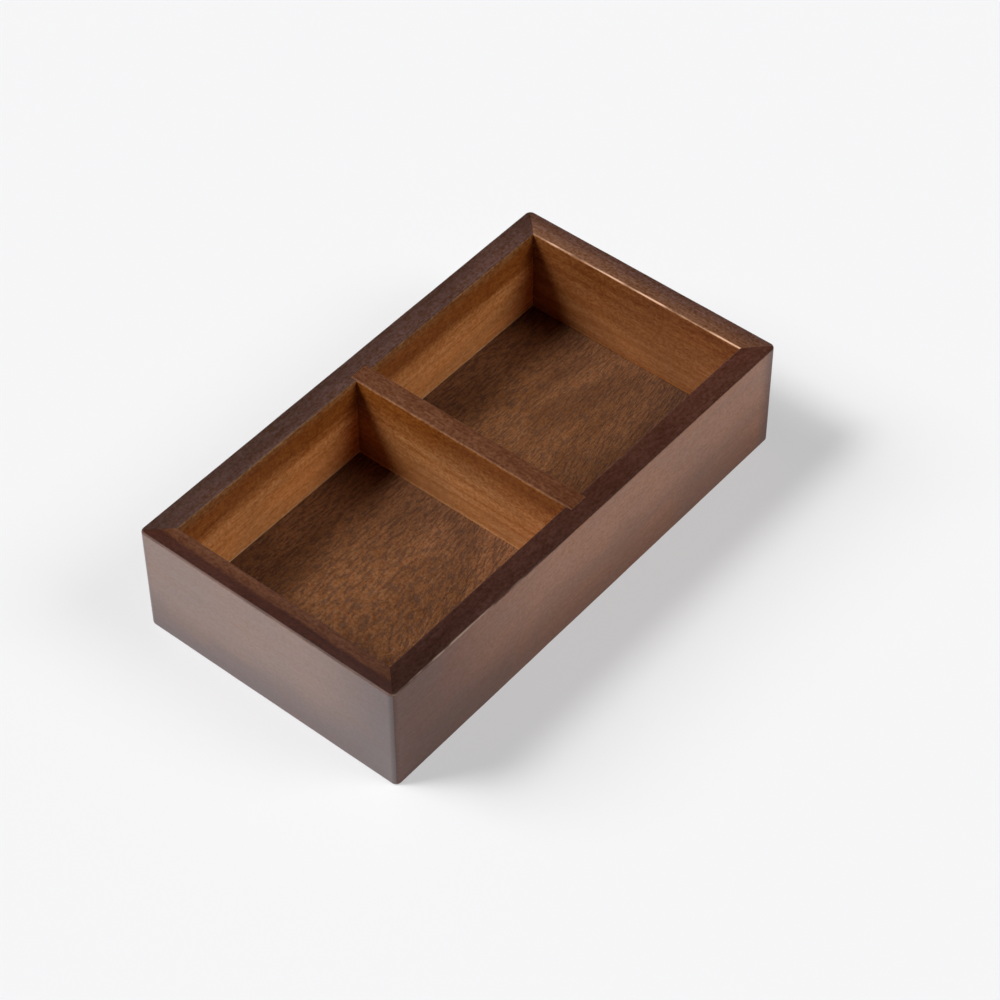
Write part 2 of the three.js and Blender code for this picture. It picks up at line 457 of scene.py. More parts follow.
        speck = shade.wood(spot.place, self.SPECKS, self.seed)
        grain = add("Math", {0: spot.fibre, 1: 0.5, 2: speck}, operation="MULTIPLY_ADD")
        grain = add("MapRange", {0: grain, 1: self.SPECKS.low, 2: self.SPECKS.high})
        grain = add("Mix", {0: grain, 6: tint(-self.GRAIN_TINT), 7: tint(self.GRAIN_TINT)}, **BLEND)
        dense = {0: spot.rise, 1: self.GRAIN_RISE, 2: HEIGHT, 3: self.GRAIN_LOW, 4: self.GRAIN_HIGH}
        dense = add("Mix", {0: shown, 2: self.GRAIN_OUTSIDE, 3: add("MapRange", dense)})
        tone = add("Mix", {0: dense, 6: tone, 7: grain}, **MULTIPLY)
        return add("Mix", {0: spot.pore, 6: tone, 7: tint(self.PORE_TINT)}, **MULTIPLY)

    def wear_and_glint(self, shade: NodeTree, spot: Spot) -> Any:
        """How far the stain is rubbed off one sanded arris, in patches, with a highlight painted along it.

        Args:
            shade: The material's tree.
            spot: Where the point lies.

        Returns:
            A share from 0 to 1.
        """
        add = shade.add
        # Patches of a rubbed, pale arris, which also stand for a painted highlight along it
        patch = shade.wood(spot.place, self.RUBBED_GLINT, self.seed)
        patch = {0: patch, 1: self.RUBBED_GLINT.low, 2: self.RUBBED_GLINT.high, 3: self.WEAR_GLINT_LEAST, 4: self.worn_glint_share}
        patch = add("MapRange", patch, **SMOOTH)
        here = add("MapRange", {0: spot.along, 1: self.worn_glint_from, 2: self.worn_glint_to}, **SMOOTH)
        outer, inner = (0.0, 1.0) if self.worn_glint_edge is WornGlintEdge.INNER else (1.0, 0.0)
        side = add("MapRange", {0: spot.inside, 3: outer, 4: inner})
        edge = add("Math", {0: spot.arris, 1: self.WEAR_GLINT_POWER}, operation="POWER")
        wear_and_glint = add("Math", {0: edge, 1: patch}, operation="MULTIPLY")
        wear_and_glint = add("Math", {0: wear_and_glint, 1: here}, operation="MULTIPLY")
        return add("Math", {0: wear_and_glint, 1: side}, operation="MULTIPLY")

    def spot(self, shade: NodeTree, turn: float, offset: float) -> Spot:
        """Finds where a point lies and draws the patterns that several layers share.

        Args:
            shade: The material's tree.
            turn: The board's turn about Z.
            offset: Distance from the tray's middle to the board's outer face.

        Returns:
            The sockets.
        """
        add = shade.add
        world = add("TexCoord", out="Object")
        place = add("Mapping", {"Vector": world, "Rotation": (0, 0, -turn), "Location": (0, offset, 0)})
        along, _, rise = add("SeparateXYZ", {0: place}).node.outputs
        zone = add("Attribute", out="Vector", attribute_name=ZONE)
        top, inside, arris = add("SeparateXYZ", {0: zone}).node.outputs
        cloud = shade.wood(place, self.CLOUDS, self.seed)
        fibre = shade.wood(place, self.FIBRES, self.seed)
        pore = shade.wood(place, self.PORES, self.seed)
        pore = add("MapRange", {0: pore, 1: self.PORES.low, 2: self.PORES.high}, **SMOOTH)
        return Spot(place, along, rise, top, inside, arris, cloud, fibre, pore)

    def material(self, turn: float, offset: float, half: float) -> bpy.types.Material:
        """Builds the finish in the board's own frame: X along it, Z up.

        Args:
            turn: The board's turn about Z.
            offset: Distance from the tray's middle to the board's outer face.
            half: Half the board's length.

        Returns:
            The material.
        """
        shade = NodeTree(bpy.data.materials.new(self.name))
        add = shade.add
        spot = self.spot(shade, turn, offset)

        outer, inner = self.outer_tone(shade, spot, half), self.inner_tone(shade, spot)
        faces = add("Mix", {0: spot.inside, 6: outer, 7: inner}, **BLEND)
        crest = {0: spot.top, 1: self.rim_edge - self.CREST_BLUR, 2: self.rim_edge + self.CREST_BLUR}
        crest = add("MapRange", crest, **SMOOTH)
        tone = add("Mix", {0: crest, 6: faces, 7: self.rim_tone(shade, spot, half)}, **BLEND)
        tone = self.figure(shade, spot, tone)
        # The rubbed arris is painted pale here, and that pale line is partly a painted highlight
        colour = add("Mix", {0: self.wear_and_glint(shade, spot), 6: tone, 7: linear(self.worn_glint)}, **BLEND)

        relief = add("Math", {0: spot.pore, 1: self.PORE_DEPTH, 2: spot.fibre}, operation="MULTIPLY_ADD")
        bump = add("Bump", {"Strength": 0.25, "Distance": 0.07 * MM, "Height": relief})
        rough = {0: spot.cloud, 1: self.CLOUDS.low, 2: self.CLOUDS.high}
        rough = add("MapRange", {**rough, 3: self.ROUGH[0], 4: self.ROUGH[1]})
        rough = add("Math", {0: spot.arris, 1: self.ARRIS_ROUGH, 2: rough}, operation="MULTIPLY_ADD")
        dull = {0: spot.arris, 1: self.ARRIS_DULL, 2: spot.top}
        dull = add("Math", dull, operation="MULTIPLY_ADD", use_clamp=True)
        coat = add("MapRange", {0: dull, 3: self.coat, 4: self.DULL_COAT * self.coat})
        wood = {"Base Color": colour, "Roughness": rough, "Specular IOR Level": self.gloss, "Normal": bump}
        lacquer = {"IOR": 1.5, "Coat IOR": 1.5, "Coat Weight": coat, "Coat Roughness": 0.42}
        add("OutputMaterial", {"Surface": add("BsdfPrincipled", wood | lacquer)})
        return shade.owner


@dataclass(frozen=True)
class WalnutPanel:
    """A walnut panel, sanded with open pores and sealed with a thin satin lacquer.

    To the eye: short dark strokes along the grain cover it like suede. The grain runs straight
    along the back and climbs to the right toward the front, as in a cathedral cut. It is darker
    toward its right front corner.

    `light` and `dark` are the wood between the pores, `pore` its pores and growth rings, and
    `climb` how steeply the grain climbs along the front, in radians.
    """

    name: str
    light: str
    dark: str
    pore: str
    climb: float
    seed: float

    # Pores are strokes 5 mm long and 1.1 mm wide, coarser than real so that they show
    CLOUDS: ClassVar[Pattern] = Pattern((34, 16, 16), 2.0, 0.5, 0)
    STROKES: ClassVar[Pattern] = Pattern((5.0, 1.1, 1.1), 3.0, 0.4, 7, 0.40, 0.54)
    SPECKS: ClassVar[Pattern] = Pattern((1.0, 0.75, 0.75), 2.0, 0.2, 11, 0.33, 0.67)
    RINGS: ClassVar[Pattern] = Pattern((130, 15, 15), 1.0, 0.3, 3)
    SPECK_TINT: ClassVar[float] = 0.36
    SPECK_RELIEF: ClassVar[float] = 0.25
    # Roughness of the wood, and of its pores
    ROUGH: ClassVar[Pair] = (0.46, 0.66)

    # Across the panel, where the grain starts to climb and where it climbs in full
    CLIMBING: ClassVar[Pair] = (25 * MM, -35 * MM)

    # Growth rings: thin dark lines where their pattern passes even steps
    RING_STEPS: ClassVar[float] = 16.0
    RING_WIDTH: ClassVar[float] = 0.14
    RING_WEIGHT: ClassVar[float] = 0.9
    FILL_WEIGHT: ClassVar[float] = 0.5

    # Darker toward the right front corner: where that starts and is full, toward the front and toward the
    # right
    DARKENING_NEAR: ClassVar[Pair] = (-8 * MM, -30 * MM)
    DARKENING_RIGHT: ClassVar[Pair] = (20 * MM, 55 * MM)
    DARKENING_TINT: ClassVar[Colour] = (0.64, 0.63, 0.64, 1)

    def material(self) -> bpy.types.Material:
        """Builds the finish, with the grain along X.

        Returns:
            The material.
        """
        shade = NodeTree(bpy.data.materials.new(self.name))
        add = shade.add
        world = add("TexCoord", out="Object")
        along, across, _ = add("SeparateXYZ", {0: world}).node.outputs
        climbing = add("Mapping", {"Vector": world, "Rotation": (0, 0, -self.climb)})
        share = add("MapRange", {0: across, 1: self.CLIMBING[0], 2: self.CLIMBING[1]}, **SMOOTH)
        place = add("Mix", {0: share, 4: world, 5: climbing}, out=1, data_type="VECTOR")

        cloud = shade.wood(place, self.CLOUDS, self.seed)
        stroke = shade.wood(place, self.STROKES, self.seed)
        deep = add("MapRange", {0: stroke, 1: self.STROKES.high, 2: self.STROKES.low}, **SMOOTH)
        speck = shade.wood(place, self.SPECKS, self.seed)
        ring = shade.wood(place, self.RINGS, self.seed)
        ring = add("Math", {0: ring, 1: self.RING_STEPS}, operation="MULTIPLY")
        ring = add("Math", {0: ring, 1: 0.5}, operation="PINGPONG")
        ring = add("MapRange", {0: ring, 1: self.RING_WIDTH, 2: 0.0}, **SMOOTH)
        ring = add("Math", {0: ring, 1: share}, operation="MULTIPLY")

        figure = add("MapRange", {0: cloud, 1: self.CLOUDS.low, 2: self.CLOUDS.high}, **SMOOTH)
        tone = add("Mix", {0: figure, 6: linear(self.dark), 7: linear(self.light)}, **BLEND)
        near = add("MapRange", {0: across, 1: self.DARKENING_NEAR[0], 2: self.DARKENING_NEAR[1]}, **SMOOTH)
        right = add("MapRange", {0: along, 1: self.DARKENING_RIGHT[0], 2: self.DARKENING_RIGHT[1]}, **SMOOTH)
        darkening = add("Math", {0: near, 1: right}, operation="MULTIPLY")
        tone = add("Mix", {0: darkening, 6: tone, 7: self.DARKENING_TINT}, **MULTIPLY)
        filled = {0: ring, 1: self.RING_WEIGHT, 2: deep}
        filled = add("Math", filled, operation="MULTIPLY_ADD", use_clamp=True)
        filled = add("Math", {0: filled, 1: self.FILL_WEIGHT}, operation="MULTIPLY")
        tone = add("Mix", {0: filled, 6: tone, 7: linear(self.pore)}, **BLEND)
        grain = add("MapRange", {0: speck, 1: self.SPECKS.low, 2: self.SPECKS.high})
        grain = add("Mix", {0: grain, 6: tint(-self.SPECK_TINT), 7: tint(self.SPECK_TINT)}, **BLEND)
        colour = add("Mix", {0: 1.0, 6: tone, 7: grain}, **MULTIPLY)

        relief = add("Math", {0: speck, 1: self.SPECK_RELIEF, 2: stroke}, operation="MULTIPLY_ADD")
        bump = add("Bump", {"Strength": 1.0, "Distance": 0.5 * MM, "Height": relief})
        rough = add("MapRange", {0: deep, 3: self.ROUGH[0], 4: self.ROUGH[1]})
        wood = {"Base Color": colour, "Roughness": rough, "Specular IOR Level": 0.4, "Normal": bump}
        lacquer = {"IOR": 1.5, "Coat IOR": 1.5, "Coat Weight": 0.15, "Coat Roughness": 0.4}
        add("OutputMaterial", {"Surface": add("BsdfPrincipled", wood | lacquer)})
        return shade.owner


@dataclass(frozen=True)
class BareBeech:
    """Bare beech, planed: pale, dry and flecked along the grain, which runs upright here."""

    name: str
    light: str
    fleck: str
    seed: float = 4.0

    # Flecks are drawn coarser than real, 0.6 mm wide, so that they show
    FLECKS: ClassVar[Pattern] = Pattern((0.6, 0.6, 3), 2.0, 0.2, 0, 0.5, 0.72)
    # Roughness of the wood, and of its flecks
    ROUGH: ClassVar[Pair] = (0.74, 0.62)

    def material(self) -> bpy.types.Material:
        """Builds the finish, with the grain upright.

        Returns:
            The material.
        """
        shade = NodeTree(bpy.data.materials.new(self.name))
        add = shade.add
        flecks = shade.wood(add("TexCoord", out="Object"), self.FLECKS, self.seed)
        share = add("MapRange", {0: flecks, 1: self.FLECKS.low, 2: self.FLECKS.high}, **SMOOTH)
        colour = add("Mix", {0: share, 6: linear(self.light), 7: linear(self.fleck)}, **BLEND)
        bump = add("Bump", {"Strength": 0.3, "Distance": 0.05 * MM, "Height": flecks})
        rough = add("MapRange", {0: share, 3: self.ROUGH[0], 4: self.ROUGH[1]})
        skin = add("BsdfPrincipled", {"Base Color": colour, "Roughness": rough, "Normal": bump})
        add("OutputMaterial", {"Surface": skin})
        return shade.owner


def swept_solid(name: str, rings: np.ndarray, zones: np.ndarray | None = None) -> bpy.types.Object:
    """Joins rings of points, one for each station along a path, into a closed solid.

    Neighbouring points of neighbouring rings make a quad, and the first and last ring are
    capped flat. Points that fall together are welded.

    Args:
        name: The piece's name.
        rings: Points, shaped stations x around x 3.
        zones: For each point, how far it belongs to the rim, to the inside and to an arris.

    Returns:
        The new object.
    """
    stations, around = rings.shape[:2]
    index = np.arange(stations * around).reshape(stations, around)
    beside = np.roll(index, -1, axis=1)
    quads = np.stack([index[:-1], beside[:-1], beside[1:], index[1:]], axis=-1).reshape(-1, 4)
    caps = [index[0][::-1].tolist(), index[-1].tolist()]
    mesh = bpy.data.meshes.new(name)
    mesh.from_pydata(rings.reshape(-1, 3), [], quads.tolist() + caps)
    if zones is not None:
        layer = mesh.attributes.new(ZONE, "FLOAT_VECTOR", "POINT")
        layer.data.foreach_set("vector", np.broadcast_to(zones, rings.shape).ravel())
    welded = bmesh.new()
    welded.from_mesh(mesh)
    bmesh.ops.remove_doubles(welded, verts=welded.verts, dist=WELD)
    bmesh.ops.recalc_face_normals(welded, faces=welded.faces)
    welded.to_mesh(mesh)
    welded.free()
    piece = bpy.data.objects.new(name, mesh)
    bpy.context.scene.collection.objects.link(piece)
    return piece


def dress(piece: bpy.types.Object, material: bpy.types.Material, slot: str, node: str) -> None:
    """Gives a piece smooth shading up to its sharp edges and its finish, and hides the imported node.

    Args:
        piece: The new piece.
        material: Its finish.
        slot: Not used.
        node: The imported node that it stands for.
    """
    piece.data.shade_smooth()
    piece.data.set_sharp_from_angle(angle=SHARP_ANGLE)
    piece.data.materials.clear()
    piece.data.materials.append(material)
    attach(piece, "root")
    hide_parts(node)
    LOG.info("%s: %d faces", piece.name, len(piece.data.polygons))


@dataclass
class FrameBoard:
    """One mitred board of the frame, as a section swept along its length.

    Attributes:
        side: Which board it is.
        finish: Its finish.
        corner_radius: Radius of the upright outer corners.
        arris: Radius of the long edges.
        sanding: How much hand sanding varies that radius, as a share of it.
        waves: Wavelength over 2 pi, and share, of the two waves that it varies by.
        hold: Width of the flat strips that keep the shading even beside an edge.
        crown: How far the rim's edges lie below its middle.
        groove_depth: Depth of the panel's groove.
        groove_room: Room above the panel, and behind the divider's ends.
        housing_gap: Room beside the divider.
        mitre_gap: How far a mitre stands back from its plane.
        face_steps: Steps across the rim and down a face.
        arris_steps: Steps round an arris.
        corner_steps: Steps round a corner, as far as the mitre.
        station_step: Distance between rings.
    """

    side: Side
    finish: StainedHardwood
    corner_radius: float = 2.5 * MM
    arris: float = 0.8 * MM
    sanding: float = 0.10
    waves: tuple[Pair, ...] = ((9 * MM, 0.6), (3.7 * MM, 0.4))
    hold: float = 0.25 * MM
    crown: float = 0.05 * MM
    groove_depth: float = 4.5 * MM
    groove_room: float = 0.25 * MM
    housing_gap: float = 0.05 * MM
    mitre_gap: float = 0.02 * MM
    face_steps: int = 5
    arris_steps: int = 8
    corner_steps: int = 10
    station_step: float = 3 * MM

    @property
    def start(self) -> float:
        """Distance from the board's middle to where it starts to turn into a mitre."""
        return self.side.length / 2 - BOARD - self.hold

    @property
    def housing_depth(self) -> float:
        """How deep the divider's housing is."""
        inside = WIDTH - 2 * BOARD
        return (DIVIDER_BOX[1].y - DIVIDER_BOX[0].y - inside) / 2 + self.groove_room

    def section(self, sanding: np.ndarray) -> np.ndarray:
        """The section's ring at each station.

        Formula: straight faces joined by quarter circles. The arris radius follows `sanding`,
        and the rim falls from its middle to its edges as a parabola.

        Args:
            sanding: The arris radius at each station, as a share of its plain value.

        Returns:
            Depth from the outer face, height, and shares of rim, inside and arris for each
            point, shaped stations x around x 5.
        """
        radius = (self.arris * sanding)[:, None]
        swing = np.linspace(0, QUARTER, self.arris_steps + 1)[None, :]
        cos, sin, bend = np.cos(swing), np.sin(swing), np.sin(2 * swing)
        share = np.linspace(0, 1, self.face_steps + 1)[None, :]
        edge = radius + self.hold
        fall = HEIGHT - edge
        top, foot = FLOOR + self.groove_room, PANEL_BOX[0].z
        notch, deep = BOARD - self.housing_depth, BOARD - self.groove_depth
        rim = np.concatenate([edge + (notch - edge) * share, BOARD - edge], axis=1)
        groove = np.array([[BOARD, notch, deep, deep, BOARD]]), np.array([[top, top, top, foot, foot]])
        # Each stretch: depth, height, rim, inside, arris
        parts = (
            (0 * share, edge + (fall - edge) * share, 0, 0, 0),
            (radius * (1 - cos), HEIGHT - radius * (1 - sin), sin ** 2, 0, bend),
            (rim, HEIGHT, 1, rim / BOARD, 0),
            (BOARD - radius * (1 - sin), HEIGHT - radius * (1 - cos), cos ** 2, 1, bend),
            (BOARD, fall + (top + self.hold - fall) * share, 0, 1, 0),
            (*groove, 0, 1, 0),
            (BOARD, edge, 0, 1, 0),
            (BOARD - radius * (1 - cos), radius * (1 - sin), 0, 1, 0),
            (BOARD - edge, 0, 0, 0.5, 0),
            (edge, 0, 0, 0, 0),
            (radius * (1 - sin), radius * (1 - cos), 0, 0, 0),
        )
        rows = [np.stack(np.broadcast_arrays(*part, 0 * radius)[:5], axis=-1) for part in parts]
        ring = np.concatenate(rows, axis=1).astype(float)
        crowned = np.clip((ring[..., 1] - fall) / edge, 0, 1)
        ring[..., 1] -= self.crown * crowned * (2 * ring[..., 0] / BOARD - 1) ** 2
        return ring

    def stations(self) -> tuple[np.ndarray, np.ndarray, np.ndarray]:
        """Where the rings stand.

        Formula: even steps between the corners, with a pair of rings at each side of the
        housing, and even steps of turn into each mitre.

        Returns:
            For each ring, its place along the board, its turn into a mitre from -1 on the left
            to 1 on the right, and whether it stands in the housing.
        """
        start = self.start
        housing = []
        if self.side.is_long:
            wide = (DIVIDER_BOX[1].x - DIVIDER_BOX[0].x) / 2 + self.housing_gap
            place = (DIVIDER_BOX[0].x + DIVIDER_BOX[1].x) / 2 * math.cos(self.side.turn)
            housing = [place - wide, place + wide]
        plain = np.linspace(-start, start, int(2 * start / self.station_step))
        middle = np.sort(np.concatenate([plain, housing, housing]))
        corner = np.arange(1, 2 * self.corner_steps + 1) / (2 * self.corner_steps)
        along = np.concatenate([np.full(corner.size, -start), middle, np.full(corner.size, start)])
        turn = np.concatenate([-corner[::-1], np.zeros(middle.size), corner])
        housed = np.zeros(along.size, bool)
        if housing:
            first, last = corner.size + np.searchsorted(middle, housing, side="right") - 1
            housed[first:last] = True
        return along, turn, housed

    def rings(self) -> tuple[np.ndarray, np.ndarray]:
        """The board's rings from one mitre to the other.

        Formula: between the corners a ring stands square to the board. At a corner each point
        nearer the outside than the corner's centre runs on a circle about that centre for 45
        degrees, and each point further in runs straight to the mitre, where distance from the
        end equals depth.

        Returns:
            Points and their zones, each shaped stations x around x 3.
        """
        along, turn, housed = self.stations()
        half, start, radius = self.side.length / 2, self.start, self.corner_radius

        phases = np.random.default_rng(self.side.quarter).uniform(0, 2 * math.pi, len(self.waves))
        wave = sum(
            share * np.sin(along / length + phase) for (length, share), phase in zip(self.waves, phases)
        )
        ring = self.section(1 + self.sanding * wave * (1 - (along / start) ** 8))
        depth, rise, zones = ring[..., 0], ring[..., 1], ring[..., 2:]
        open_here = housed[:, None] & (rise > FLOOR)
        depth = np.where(open_here, np.minimum(depth, BOARD - self.housing_depth), depth)

        share, side = np.abs(turn)[:, None], np.sign(turn)[:, None]
        straight = np.clip(2 * share, 0, 1)
        swing = np.clip(2 * share - 1, 0, 1) * QUARTER / 2
        reach = np.maximum(radius - depth, 0)
        round_run = (half - radius - start) * straight + reach * np.sin(swing)
        inner_run = (half - np.maximum(depth, radius) - start) * share
        run = np.where(depth < radius, round_run, inner_run)
        run = run - self.mitre_gap * np.clip(2 * share - 1, 0, 1)
        x = along[:, None] + side * run
        y = np.where(depth < radius, radius - reach * np.cos(swing), depth) - self.side.span / 2
        cos, sin = math.cos(self.side.turn), math.sin(self.side.turn)
        return np.stack([cos * x - sin * y, sin * x + cos * y, rise], axis=-1), zones

    def build(self) -> bpy.types.Object:
        """Sweeps the board, cuts its slots and dresses it.

        Returns:
            The new piece.
        """
        piece = swept_solid(f"{self.side.node}_board", *self.rings())
        for tongue in TONGUES:
            if tongue.touches(self.side):
                tongue.cut_slot(piece)
        material = self.finish.material(self.side.turn, self.side.span / 2, self.side.length / 2)
        dress(piece, material, self.side.node, self.side.node)
        return piece


@dataclass
class MitreTongue:
    """A loose tongue across one mitre, half of its width in each board, and its roomier slot."""

    node: str
    thickness: float = 3 * MM
    width: float = 8 * MM
    room: float = 0.25 * MM
    round_steps: int = 8

    def touches(self, side: Side) -> bool:
        """Tells whether this tongue lies in a board.

        Args:
            side: The board.

        Returns:
            True if it does.
        """
        low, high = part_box(self.node)
        outward = Vector((math.sin(side.turn), -math.cos(side.turn), 0))
        return ((low + high) / 2).dot(outward) > side.span / 2 - BOARD

    def cut_slot(self, board: bpy.types.Object) -> None:
        """Cuts the slot into a board.

        Formula: an outline with half-circle ends, upright, swept straight across the mitre.

        Args:
            board: The board to cut.
        """
        low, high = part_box(self.node)
        middle = (low + high) / 2
        radius = self.thickness / 2 + self.room
        straight = (high.z - low.z) / 2 - self.thickness / 2
        swing = np.linspace(0, math.pi, self.round_steps + 1)
        flat = np.concatenate([radius * np.cos(swing), -radius * np.cos(swing)])
        up = np.concatenate([straight + radius * np.sin(swing), -straight - radius * np.sin(swing)])
        turn = -math.copysign(QUARTER / 2, middle.x * middle.y)
        across = np.array([math.cos(turn), math.sin(turn), 0])
        through = np.array([-math.sin(turn), math.cos(turn), 0])
        reach = self.width / 2 + self.room
        outline = np.array(middle) + flat[:, None] * through + up[:, None] * np.array([0, 0, 1])
        rings = np.stack([outline - reach * across, outline + reach * across])
        cutter = swept_solid(f"{self.node}_cutter", rings)
        cut = board.modifiers.new("slot", "BOOLEAN")
        cut.operation = "DIFFERENCE"
        cut.solver = "EXACT"
        cut.object = cutter
        graph = bpy.context.evaluated_depsgraph_get()
        done = bpy.data.meshes.new_from_object(board.evaluated_get(graph))
        board.modifiers.clear()
        board.data = done
        bpy.data.objects.remove(cutter)

    def dress(self, material: bpy.types.Material) -> None:
        """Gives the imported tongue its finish.

        Args:
            material: The finish.
        """
        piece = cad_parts[self.node]
        piece.data.materials.clear()
        piece.data.materials.append(material)
        LOG.info("%s: kept, %d faces", piece.name, len(piece.data.polygons))


TONGUES = [
    MitreTongue(f"corner_tongue_{depth}_{side}")
    for depth in ("front", "back")
    for side in ("left", "right")
]


@dataclass
class EasedSlab:
    """A slab with a rounded outline and rounded upper and lower edges.

    `foot`, `top` and `corner` are the radii of its lower, upper and upright edges. Flat strips as
    wide as `hold` keep the shading even beside an edge, and each face has one more ring, `margin`
    in from the rounding.
    """

    name: str
    low: Point
    high: Point
    foot: float
    top: float
    corner: float
    steps: int = 6
    hold: float = 0.25 * MM
    margin: float = 1.0 * MM

    def build(self) -> bpy.types.Object:
        """Builds the slab from its lower face to its upper one.

        Formula: the outline is a rectangle whose corners are quarter circles. Each ring is that
        outline drawn in by an amount that follows a quarter circle at each edge.

        Returns:
            The new object.
        """
        low, high, hold = self.low, self.high, self.hold
        foot, top, corner = self.foot, self.top, self.corner
        swing = np.linspace(0, QUARTER, self.steps + 1)
        cos, sin = np.cos(swing), np.sin(swing)
        inset = np.concatenate([
            [foot + self.margin, foot + hold], foot * (1 - sin), [0, 0],
            top * (1 - cos), [top + hold, top + self.margin],
        ])
        rise = np.concatenate([
            [low[2], low[2]], low[2] + foot * (1 - cos), [low[2] + foot + hold, high[2] - top - hold],
            high[2] - top * (1 - sin), [high[2], high[2]],
        ])
        plain = np.zeros(inset.size - swing.size - 2)
        rim_share = np.concatenate([plain, sin ** 2, [1, 1]])
        arris_share = np.concatenate([plain, np.sin(2 * swing), [0, 0]])
        zones = np.stack([rim_share, 0 * rim_share + 1, arris_share], axis=-1)[:, None, :]

        turns = (np.arange(4)[:, None] * QUARTER + swing[None, :]).ravel()
        sign_x = np.repeat([1, -1, -1, 1], swing.size)
        sign_y = np.repeat([1, 1, -1, -1], swing.size)
        centre_x = np.where(sign_x > 0, high[0] - corner, low[0] + corner)
        centre_y = np.where(sign_y > 0, high[1] - corner, low[1] + corner)
        radius = np.maximum(corner - inset, 0)[:, None]
        extra = np.maximum(inset - corner, 0)[:, None]
        x = centre_x + radius * np.cos(turns) - extra * sign_x
        y = centre_y + radius * np.sin(turns) - extra * sign_y
        z = np.broadcast_to(rise[:, None], x.shape)
        return swept_solid(self.name, np.stack([x, y, z], axis=-1), zones)


@dataclass
class BottomPanel:
    """The bottom panel, loose in its groove, with all its edges eased alike."""

    finish: WalnutPanel
    arris: float = 0.4 * MM

    def build(self) -> bpy.types.Object:
        """Builds the panel and dresses it.

        Returns:
            The new piece.
        """
        low, high = PANEL_BOX
        slab = EasedSlab(
            "bottom_panel_sheet",
            tuple(low),
            tuple(high),
            foot=self.arris,
            top=self.arris,
            corner=self.arris,
        )
        piece = slab.build()
        dress(piece, self.finish.material(), "bottom_panel", "bottom_panel")
        return piece


@dataclass
class Divider:
    """The cross divider, glued into its two housings.

    Its upper, lower and upright edges are eased by `arris`, `foot_arris` and `corner`.
    """

    finish: StainedHardwood
    arris: float = 0.5 * MM
    foot_arris: float = 0.1 * MM
    corner: float = 0.3 * MM
    glue_line: float = 0.2 * MM

    def build(self) -> bpy.types.Object:
        """Builds the divider, lengthened by a glue line at each end, and dresses it.

        Returns:
            The new piece.
        """
        low, high = DIVIDER_BOX
        slab = EasedSlab(
            "divider_board",
            (low.x, low.y - self.glue_line, low.z),
            (high.x, high.y + self.glue_line, high.z),
            foot=self.foot_arris,
            top=self.arris,
            corner=self.corner,
        )
        piece = slab.build()
        material = self.finish.material(QUARTER, 0.0, (high.y - low.y) / 2)
        dress(piece, material, "divider", "divider")
        return piece


@dataclass(frozen=True)
class Lamp:
    """A soft studio lamp far away.

    `towards` is where it stands, `level` how much light it gives level ground, and `softness`
    the angle that it fills, in degrees.
    """

    name: str
    towards: Point
    level: float
    softness: float
    colour: str = "ffffff"

    def build(self) -> None:
        """Adds the lamp."""
        direction = Vector(self.towards).normalized()
        light = bpy.data.lights.new(self.name, "SUN")
        light.energy = math.pi * self.level / direction.z
        light.angle = math.radians(self.softness)
        light.color = linear(self.colour)[:3]
        lamp = bpy.data.objects.new(self.name, light)
        lamp.rotation_euler = direction.to_track_quat("Z", "Y").to_euler()
        lamp.location = direction
        bpy.context.scene.collection.objects.link(lamp)


